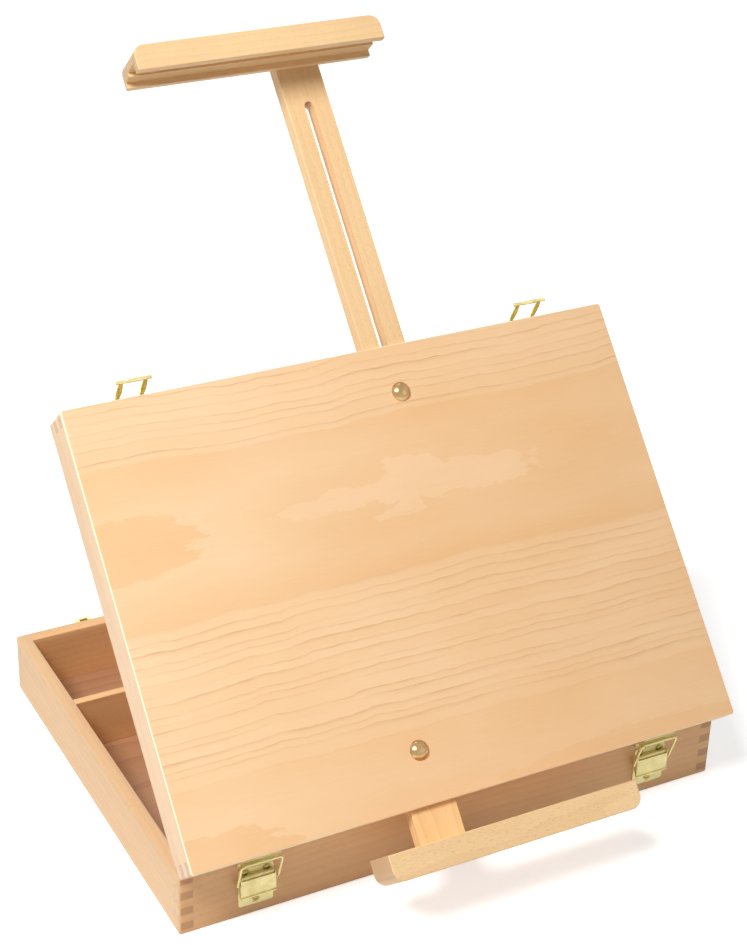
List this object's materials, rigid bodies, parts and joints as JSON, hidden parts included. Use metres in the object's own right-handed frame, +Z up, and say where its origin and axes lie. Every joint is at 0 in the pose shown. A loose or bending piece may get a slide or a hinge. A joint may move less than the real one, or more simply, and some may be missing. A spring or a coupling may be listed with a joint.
{
  "type": "box easel",
  "caption": "Tabletop box easel: a finger-jointed wooden paint box whose drawing-board lid tilts up on a folding stay, with a sliding canvas holder above and a sliding ledge below.",
  "frame": {"origin": "middle of the base's flat underside", "axes": "+X to the right along the front, +Y to the rear, +Z up"},
  "size_m": [0.4, 0.4129, 0.467],
  "materials": {
    "box_beech": "oiled",
    "easel_beech": "sanded",
    "board_veneer": "satin",
    "thin_wood": "sanded",
    "sheet_brass": "plated",
    "polished_brass": "polished"
  },
  "bodies": {
    "base": {"base_front_wall": "box_beech", "base_rear_wall": "box_beech", "base_left_wall": "box_beech", "base_right_wall": "box_beech", "base_floor": "thin_wood", "divider": "thin_wood", "hinge_base_leaves": "sheet_brass", "hinge_pins": "sheet_brass", "hinge_base_screws": "sheet_brass", "latch_plate_left": "sheet_brass", "latch_plate_right": "sheet_brass", "latch_plate_screws": "sheet_brass", "latch_lever_pins": "sheet_brass", "staple_plate_left": "sheet_brass", "staple_plate_right": "sheet_brass", "staple_screws": "sheet_brass", "stay_base_bracket": "sheet_brass", "stay_base_rivet": "sheet_brass", "stay_base_screws": "sheet_brass"},
    "lid": {"lid_lower_wall": "box_beech", "lid_upper_wall": "box_beech", "lid_left_wall": "box_beech", "lid_right_wall": "box_beech", "drawing_board": "board_veneer", "hinge_lid_leaves": "sheet_brass", "hinge_lid_screws": "sheet_brass", "latch_keeper_left": "sheet_brass", "latch_keeper_right": "sheet_brass", "latch_keeper_screws": "sheet_brass", "hasp_plate_left": "sheet_brass", "hasp_plate_right": "sheet_brass", "hasp_pins": "sheet_brass", "hasp_screws": "sheet_brass", "stay_lid_bracket": "sheet_brass", "stay_lid_rivet": "sheet_brass", "stay_lid_screws": "sheet_brass", "mast_bolt": "polished_brass", "ledge_bolt": "polished_brass", "mast_washer": "polished_brass", "ledge_washer": "polished_brass"},
    "mast": {"mast": "easel_beech", "canvas_holder": "easel_beech", "holder_screws": "sheet_brass"},
    "ledge": {"ledge_slide": "easel_beech", "canvas_ledge": "easel_beech", "ledge_screws": "sheet_brass"},
    "mast_nut": {"mast_wing_nut": "polished_brass"},
    "ledge_nut": {"ledge_wing_nut": "polished_brass"},
    "lever_left": {"latch_lever_left": "sheet_brass"},
    "lever_right": {"latch_lever_right": "sheet_brass"},
    "washers_left": {"bail_washers_left": "sheet_brass"},
    "washers_right": {"bail_washers_right": "sheet_brass"},
    "bail_left": {"latch_bail_left": "sheet_brass"},
    "bail_right": {"latch_bail_right": "sheet_brass"},
    "hasp_left": {"hasp_loop_left": "sheet_brass"},
    "hasp_right": {"hasp_loop_right": "sheet_brass"},
    "stay_lower": {"stay_lower_link": "sheet_brass", "stay_knee_bolt": "sheet_brass"},
    "stay_upper": {"stay_upper_link": "sheet_brass"},
    "stay_nut": {"stay_wing_nut": "polished_brass"}
  },
  "joints": [
    {"name": "lid_hinge", "type": "hinge", "parent": "base", "child": "lid", "pos_m": [0, -0.15, 0.043], "axis": [1, 0, 0], "range_deg": [-47.2, 0]},
    {"name": "mast_slide", "type": "slide", "parent": "lid", "child": "mast", "axis": [0, 0.6794, 0.7337], "range_m": [-0.2053, 0.03]},
    {"name": "ledge_slide", "type": "slide", "parent": "lid", "child": "ledge", "axis": [0, 0.6794, 0.7337], "range_m": [-0.02, 0.022]},
    {"name": "mast_nut_turn", "type": "hinge", "parent": "lid", "child": "mast_nut", "pos_m": [0.0315, 0.02407, 0.2457], "axis": [0, -0.7337, 0.6794], "continuous": true},
    {"name": "ledge_nut_turn", "type": "hinge", "parent": "lid", "child": "ledge_nut", "pos_m": [-0.0322, -0.13356, 0.07548], "axis": [0, -0.7337, 0.6794], "continuous": true},
    {"name": "lever_left", "type": "hinge", "parent": "base", "child": "lever_left", "pos_m": [-0.148, -0.153, 0.0323], "axis": [-1, 0, 0], "range_deg": [0, 90]},
    {"name": "washers_left", "type": "hinge", "parent": "lever_left", "child": "washers_left", "pos_m": [-0.148, -0.154, 0.028], "axis": [-1, 0, 0], "range_deg": [-90, 0]},
    {"name": "bail_left", "type": "hinge", "parent": "washers_left", "child": "bail_left", "pos_m": [-0.148, -0.154, 0.028], "axis": [-1, 0, 0], "range_deg": [-150, 1.5]},
    {"name": "lever_right", "type": "hinge", "parent": "base", "child": "lever_right", "pos_m": [0.148, -0.153, 0.0323], "axis": [-1, 0, 0], "range_deg": [0, 90]},
    {"name": "washers_right", "type": "hinge", "parent": "lever_right", "child": "washers_right", "pos_m": [0.148, -0.154, 0.028], "axis": [-1, 0, 0], "range_deg": [-90, 0]},
    {"name": "bail_right", "type": "hinge", "parent": "washers_right", "child": "bail_right", "pos_m": [0.148, -0.154, 0.028], "axis": [-1, 0, 0], "range_deg": [-150, 1.5]},
    {"name": "hasp_left", "type": "hinge", "parent": "lid", "child": "hasp_left", "pos_m": [-0.147, 0.05014, 0.2709], "axis": [1, 0, 0], "range_deg": [-158, 24]},
    {"name": "hasp_right", "type": "hinge", "parent": "lid", "child": "hasp_right", "pos_m": [0.147, 0.05014, 0.2709], "axis": [1, 0, 0], "range_deg": [-158, 24]},
    {"name": "stay_lower_fold", "type": "hinge", "parent": "base", "child": "stay_lower", "pos_m": [0.1882, -0.07, 0.031], "axis": [1, 0, 0], "range_deg": [-48, 0]},
    {"name": "stay_upper_fold", "type": "hinge", "parent": "lid", "child": "stay_upper", "pos_m": [0.1863, -0.10445, 0.10985], "axis": [1, 0, 0], "range_deg": [0, 48]},
    {"name": "stay_nut_turn", "type": "hinge", "parent": "stay_lower", "child": "stay_nut", "pos_m": [0.182, -0.02542, 0.09742], "axis": [1, 0, 0], "continuous": true}
  ],
  "couplings": [
    {"joint": "stay_lower_fold", "follows": "lid_hinge", "ratio": 1.007},
    {"joint": "stay_upper_fold", "follows": "lid_hinge", "ratio": -1.007},
    {"joint": "washers_left", "follows": "lever_left", "ratio": -1},
    {"joint": "washers_right", "follows": "lever_right", "ratio": -1}
  ]
}
